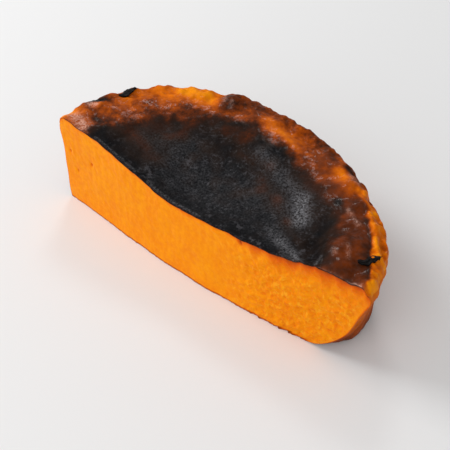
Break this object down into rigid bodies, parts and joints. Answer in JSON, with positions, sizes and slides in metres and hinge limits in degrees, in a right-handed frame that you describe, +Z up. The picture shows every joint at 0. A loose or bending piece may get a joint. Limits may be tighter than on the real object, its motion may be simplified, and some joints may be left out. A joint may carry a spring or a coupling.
{
  "type": "half cheesecake",
  "caption": "Half of a burnt pumpkin cheesecake, cut straight across, with a sunken blackened top, a crinkled amber rim and an orange cut face, resting flat on its base.",
  "frame": {"origin": "middle of the footprint's bounding box, on the plane that the cake rests on", "axes": "+X along the cut, +Z up, and the cut face looks along -Y"},
  "size_m": [0.1511, 0.0676, 0.043],
  "materials": {
    "baked_custard": "moist satin custard, orange where cut and browned to black on top"
  },
  "bodies": {
    "root": {"cheesecake": "baked_custard"}
  },
  "joints": []
}
